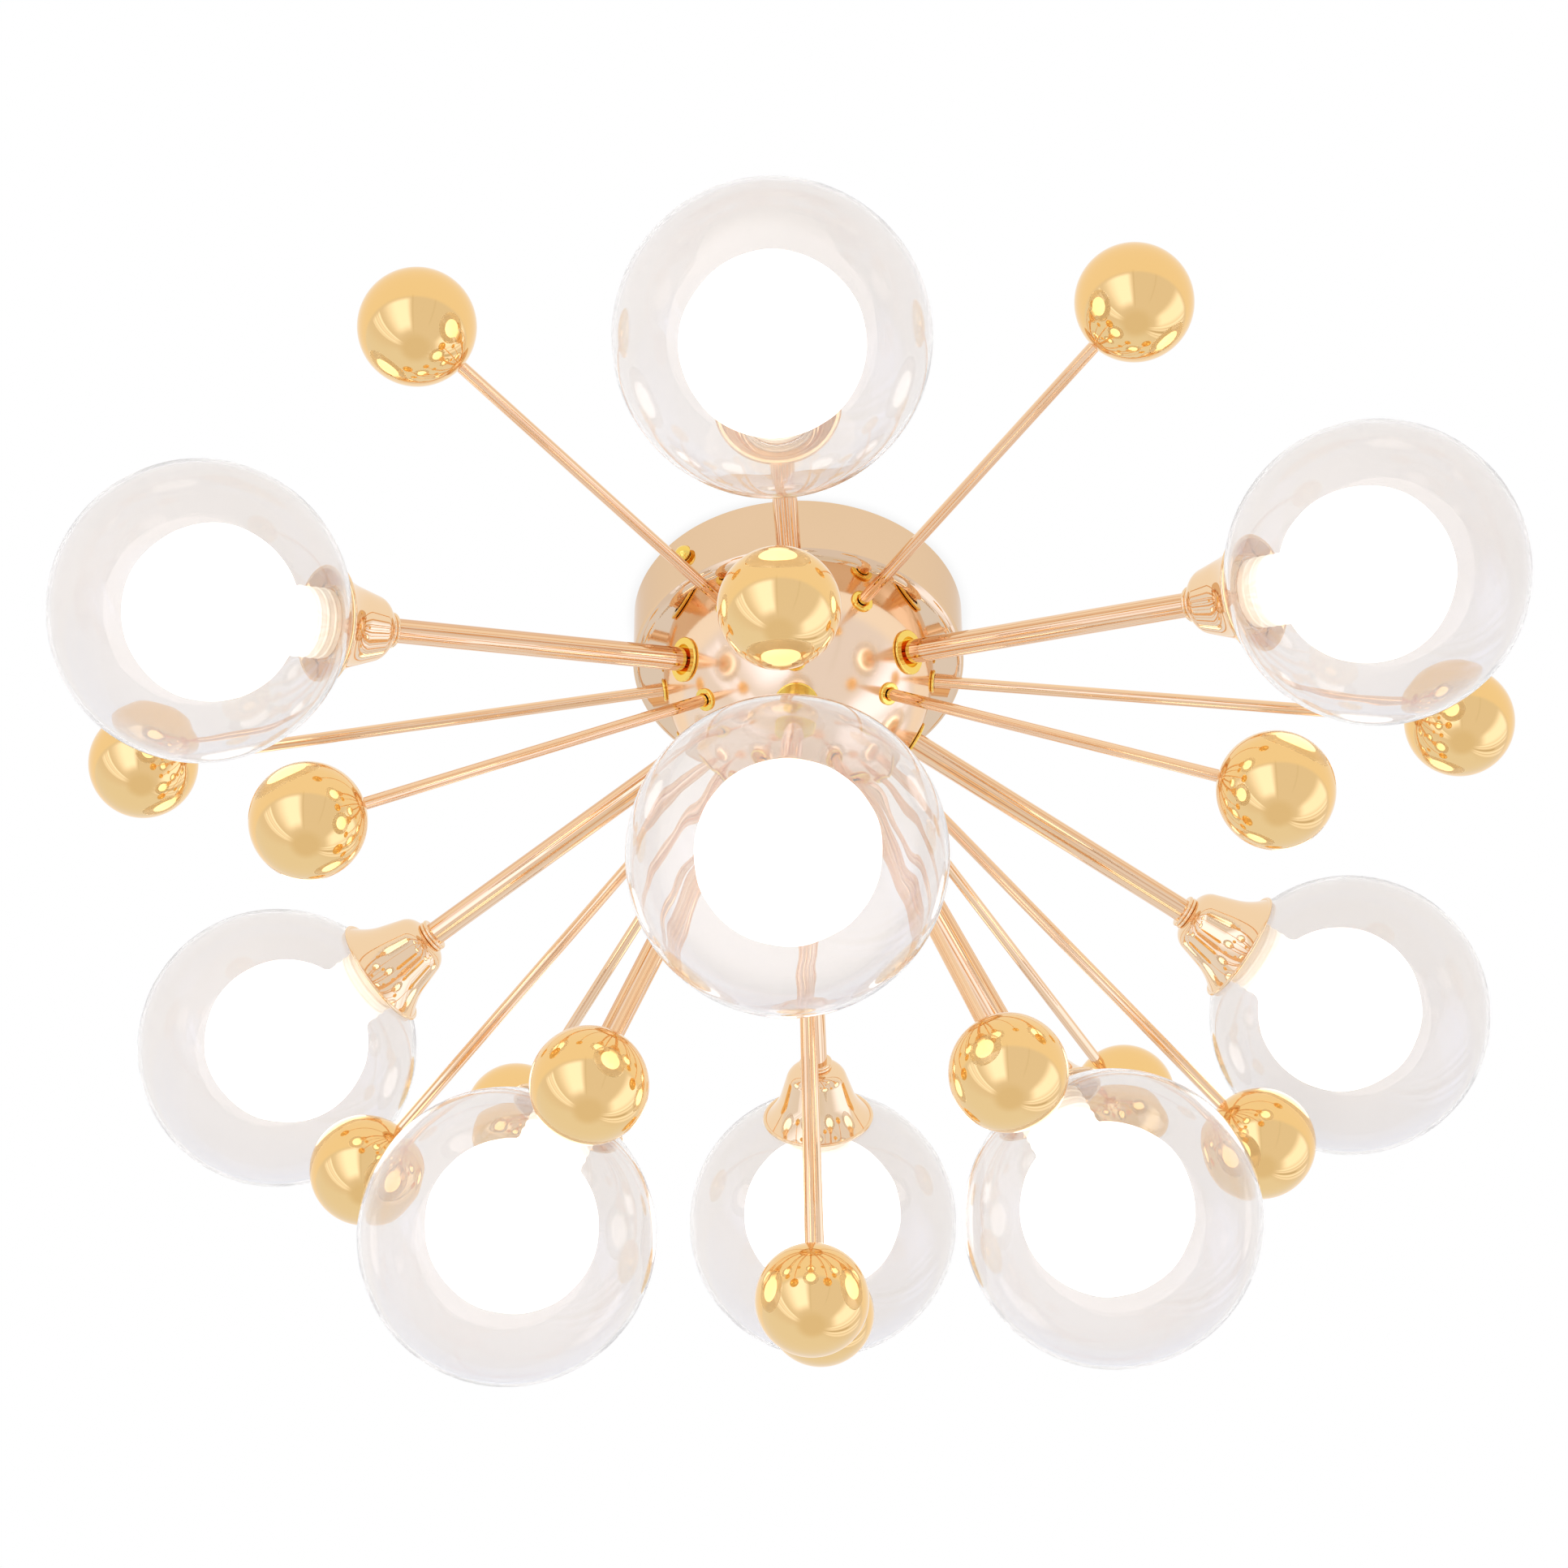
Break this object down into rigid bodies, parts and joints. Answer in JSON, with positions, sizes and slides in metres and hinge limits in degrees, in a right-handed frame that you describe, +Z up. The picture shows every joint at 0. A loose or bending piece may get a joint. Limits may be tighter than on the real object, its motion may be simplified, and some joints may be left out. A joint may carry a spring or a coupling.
{
  "type": "multi arm chandelier",
  "caption": "Flush ceiling light with clear glass globe lamps and small gold balls on straight arms fanning from a polished half-dome under a shallow round canopy.",
  "frame": {"origin": "on the ceiling plane, on the lamp's own axis, midway between the two ceiling screw holes of the bracket", "axes": "+Z up into the ceiling, -Y towards the viewer of the picture, +X to that viewer's right"},
  "size_m": [0.5958, 0.6536, 0.3339],
  "materials": {
    "canopy_metal": "polished champagne plating",
    "rose_metal": "polished rose-gold plating",
    "rose_tube": "rose-gold plating with a fine drawn grain",
    "gold_metal": "polished yellow gold",
    "gold_shell": "mirror-polished yellow gold",
    "zinc_steel": "zinc plated",
    "clear_glass": "clear blown glass",
    "frosted_glass": "opal white, satin",
    "holder_ceramic": "white glaze",
    "bulb_glass": "frosted",
    "block_plastic": "moulded"
  },
  "bodies": {
    "fixture": {"mounting_bracket": "zinc_steel", "terminal_block": "block_plastic", "earth_screw": "gold_metal", "canopy": "canopy_metal", "centre_nipple": "zinc_steel", "nipple_nuts": "zinc_steel", "dome_strap": "zinc_steel", "dome": "rose_metal", "arm_bushings": "gold_metal", "arm_locknuts": "zinc_steel", "rod_bushings": "gold_metal", "rod_locknuts": "zinc_steel", "rods_upper": "rose_tube", "rods_middle": "rose_tube", "rods_lower": "rose_tube", "balls_upper": "gold_shell", "balls_middle": "gold_shell", "balls_lower": "gold_shell", "arm_1": "rose_tube", "arm_2": "rose_tube", "arm_3": "rose_tube", "arm_4": "rose_tube", "arm_5": "rose_tube", "arm_6": "rose_tube", "arm_7": "rose_tube", "arm_8": "rose_tube", "arm_9": "rose_tube", "cup_1": "rose_metal", "cup_2": "rose_metal", "cup_3": "rose_metal", "cup_4": "rose_metal", "cup_5": "rose_metal", "cup_6": "rose_metal", "cup_7": "rose_metal", "cup_8": "rose_metal", "cup_9": "rose_metal", "cup_collars": "rose_metal", "lamp_holders": "holder_ceramic", "bulbs": "bulb_glass"},
    "shade_1": {"globe_1": "clear_glass", "diffuser_1": "frosted_glass"},
    "shade_2": {"globe_2": "clear_glass", "diffuser_2": "frosted_glass"},
    "shade_3": {"globe_3": "clear_glass", "diffuser_3": "frosted_glass"},
    "shade_4": {"globe_4": "clear_glass", "diffuser_4": "frosted_glass"},
    "shade_5": {"globe_5": "clear_glass", "diffuser_5": "frosted_glass"},
    "shade_6": {"globe_6": "clear_glass", "diffuser_6": "frosted_glass"},
    "shade_7": {"globe_7": "clear_glass", "diffuser_7": "frosted_glass"},
    "shade_8": {"globe_8": "clear_glass", "diffuser_8": "frosted_glass"},
    "shade_9": {"globe_9": "clear_glass", "diffuser_9": "frosted_glass"},
    "thumb_screw_a": {"thumb_screw_front": "gold_metal"},
    "thumb_screw_b": {"thumb_screw_back": "gold_metal"}
  },
  "joints": [
    {"name": "shade_1_unscrew", "type": "hinge", "parent": "fixture", "child": "shade_1", "pos_m": [0, -0.21427, -0.10062], "axis": [0, -0.9511, -0.309], "range_deg": [0, 540]},
    {"name": "shade_2_unscrew", "type": "hinge", "parent": "fixture", "child": "shade_2", "pos_m": [0.18557, -0.10714, -0.10062], "axis": [0.8236, -0.4755, -0.309], "range_deg": [0, 540]},
    {"name": "shade_3_unscrew", "type": "hinge", "parent": "fixture", "child": "shade_3", "pos_m": [0.18557, 0.10714, -0.10062], "axis": [0.8236, 0.4755, -0.309], "range_deg": [0, 540]},
    {"name": "shade_4_unscrew", "type": "hinge", "parent": "fixture", "child": "shade_4", "pos_m": [0, 0.21427, -0.10062], "axis": [0, 0.9511, -0.309], "range_deg": [0, 540]},
    {"name": "shade_5_unscrew", "type": "hinge", "parent": "fixture", "child": "shade_5", "pos_m": [-0.18557, 0.10714, -0.10062], "axis": [-0.8236, 0.4755, -0.309], "range_deg": [0, 540]},
    {"name": "shade_6_unscrew", "type": "hinge", "parent": "fixture", "child": "shade_6", "pos_m": [-0.18557, -0.10714, -0.10062], "axis": [-0.8236, -0.4755, -0.309], "range_deg": [0, 540]},
    {"name": "shade_7_unscrew", "type": "hinge", "parent": "fixture", "child": "shade_7", "pos_m": [0, -0.11805, -0.22289], "axis": [0, -0.524, -0.8517], "range_deg": [0, 540]},
    {"name": "shade_8_unscrew", "type": "hinge", "parent": "fixture", "child": "shade_8", "pos_m": [0.09756, 0.05633, -0.22612], "axis": [0.433, 0.25, -0.866], "range_deg": [0, 540]},
    {"name": "shade_9_unscrew", "type": "hinge", "parent": "fixture", "child": "shade_9", "pos_m": [-0.09756, 0.05633, -0.22612], "axis": [-0.433, 0.25, -0.866], "range_deg": [0, 540]},
    {"name": "thumb_screw_a_turn", "type": "hinge", "parent": "fixture", "child": "thumb_screw_a", "pos_m": [-0.045, -0.05362, -0.014], "axis": [-0.6428, -0.766, 0], "range_deg": [0, 1800]},
    {"name": "thumb_screw_b_turn", "type": "hinge", "parent": "fixture", "child": "thumb_screw_b", "pos_m": [0.045, 0.05362, -0.014], "axis": [0.6428, 0.766, 0], "range_deg": [0, 1800]}
  ]
}
